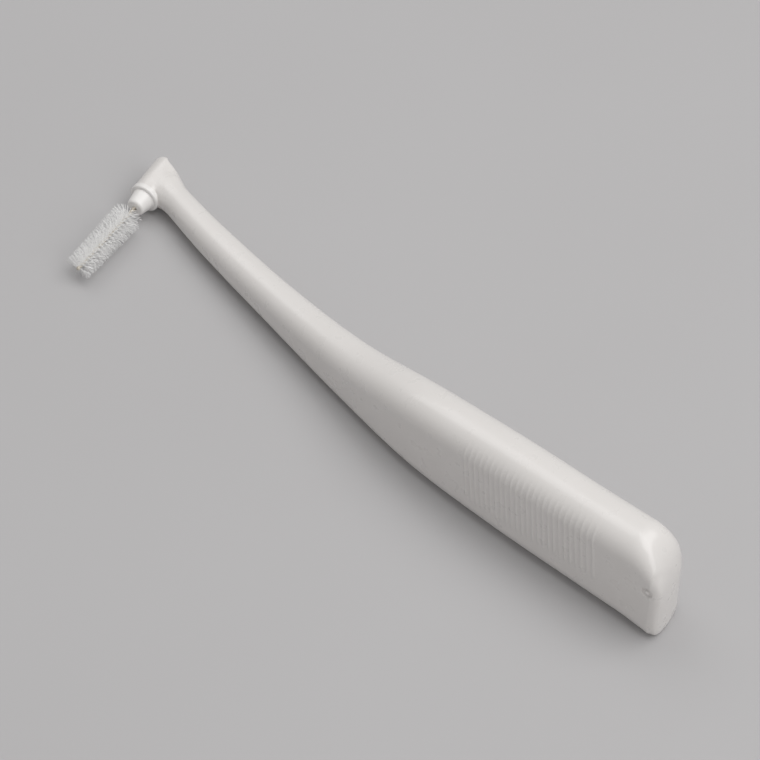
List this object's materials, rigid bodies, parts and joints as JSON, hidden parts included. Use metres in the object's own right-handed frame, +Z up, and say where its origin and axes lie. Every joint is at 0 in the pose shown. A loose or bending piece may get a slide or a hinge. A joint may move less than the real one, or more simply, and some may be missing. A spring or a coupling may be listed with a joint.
{
  "type": "interdental brush",
  "caption": "Angled interdental brush: bowed flat handle with fine grip ribs, slim neck and a bendable twisted-wire brush that stands out sideways from the head.",
  "frame": {"origin": "in the flat under the grip's lower edge, where the brush lies on a table", "axes": "+X along the handle from the head to the tail, +Z up, the brush points towards -Y"},
  "size_m": [0.1204, 0.0253, 0.0181],
  "materials": {
    "handle": "satin",
    "plug": "satin",
    "wire": "drawn wire",
    "bristle": "translucent"
  },
  "bodies": {
    "handle": {"handle": "handle", "nozzle_plug": "plug", "wire_anchor": "wire"},
    "brush": {"core_wire": "wire", "bristle_row_01": "bristle", "bristle_row_02": "bristle", "bristle_row_03": "bristle", "bristle_row_04": "bristle", "bristle_row_05": "bristle", "bristle_row_06": "bristle", "bristle_row_07": "bristle", "bristle_row_08": "bristle", "bristle_row_09": "bristle", "bristle_row_10": "bristle", "bristle_row_11": "bristle", "bristle_row_12": "bristle", "bristle_row_13": "bristle", "bristle_row_14": "bristle", "bristle_row_15": "bristle", "bristle_row_16": "bristle", "bristle_row_17": "bristle"}
  },
  "joints": [
    {"name": "brush_bend", "type": "hinge", "parent": "handle", "child": "brush", "pos_m": [-0.0841, -0.00256, 0.0031], "axis": [0, 0, 1], "range_deg": [-35, 35]}
  ]
}
